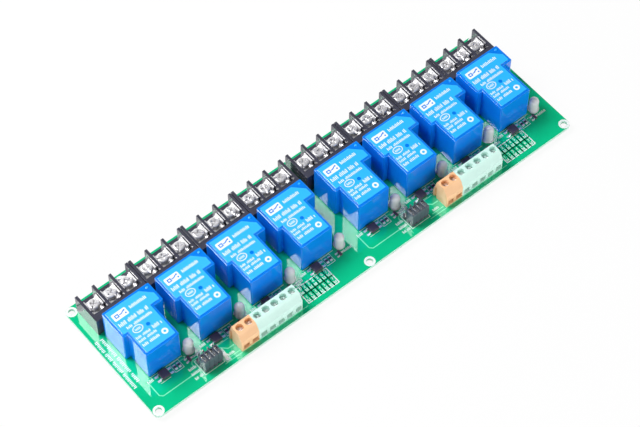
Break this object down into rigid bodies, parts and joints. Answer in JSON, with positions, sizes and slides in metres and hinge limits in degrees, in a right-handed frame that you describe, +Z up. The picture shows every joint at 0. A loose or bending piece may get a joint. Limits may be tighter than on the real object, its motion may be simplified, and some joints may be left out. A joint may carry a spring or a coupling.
{
  "type": "relay module board",
  "caption": "Long circuit board with sealed relays in a row, barrier screw blocks along one edge, and input terminals, jumper pins and indicator lamps along the other.",
  "frame": {"origin": "middle of the board in plan, level with the ends of the solder tails that it rests on", "axes": "+X along the board, +Y towards the barrier blocks, +Z up out of the component side"},
  "size_m": [0.254, 0.072, 0.0236],
  "materials": {
    "solder_mask": "glossy solder mask over glass laminate",
    "relay_blue": "glossy moulded",
    "black_moulding": "satin moulded",
    "cap_moulding": "glossy moulded",
    "chip_black": "satin moulded epoxy",
    "orange_moulding": "satin moulded",
    "mint_moulding": "satin moulded",
    "clear_lens": "clear cast resin",
    "lamp_white": "glossy moulded",
    "plated_steel": "bright nickel plate",
    "tinned_metal": "tinned",
    "pin_metal": "bright plate",
    "brass": "plain"
  },
  "bodies": {
    "root": {"circuit_board": "solder_mask", "relay_case_1": "relay_blue", "relay_case_2": "relay_blue", "relay_case_3": "relay_blue", "relay_case_4": "relay_blue", "relay_case_5": "relay_blue", "relay_case_6": "relay_blue", "relay_case_7": "relay_blue", "relay_case_8": "relay_blue", "relay_pins_1": "tinned_metal", "relay_pins_2": "tinned_metal", "relay_pins_3": "tinned_metal", "relay_pins_4": "tinned_metal", "relay_pins_5": "tinned_metal", "relay_pins_6": "tinned_metal", "relay_pins_7": "tinned_metal", "relay_pins_8": "tinned_metal", "barrier_block_1": "black_moulding", "barrier_block_2": "black_moulding", "barrier_block_3": "black_moulding", "barrier_block_4": "black_moulding", "barrier_block_5": "black_moulding", "barrier_block_6": "black_moulding", "barrier_block_7": "black_moulding", "barrier_block_8": "black_moulding", "barrier_contacts": "plated_steel", "barrier_clamps": "plated_steel", "barrier_screws": "plated_steel", "power_terminal_1": "orange_moulding", "power_terminal_2": "orange_moulding", "input_terminal_a_1": "mint_moulding", "input_terminal_a_2": "mint_moulding", "input_terminal_b_1": "mint_moulding", "input_terminal_b_2": "mint_moulding", "terminal_cages": "brass", "terminal_pins": "tinned_metal", "terminal_screws": "plated_steel", "pin_block_1": "black_moulding", "pin_block_2": "black_moulding", "selector_pins_1": "pin_metal", "selector_pins_2": "pin_metal", "jumper_caps_1": "cap_moulding", "jumper_caps_2": "cap_moulding", "lamp_1": "clear_lens", "lamp_2": "clear_lens", "lamp_3": "clear_lens", "lamp_4": "clear_lens", "lamp_5": "clear_lens", "lamp_6": "clear_lens", "lamp_7": "clear_lens", "lamp_8": "clear_lens", "lamp_leads": "tinned_metal", "optocouplers": "chip_black", "optocoupler_leads": "tinned_metal", "transistors": "chip_black", "transistor_leads": "tinned_metal", "chip_resistors": "chip_black", "power_lamp": "lamp_white"}
  },
  "joints": []
}
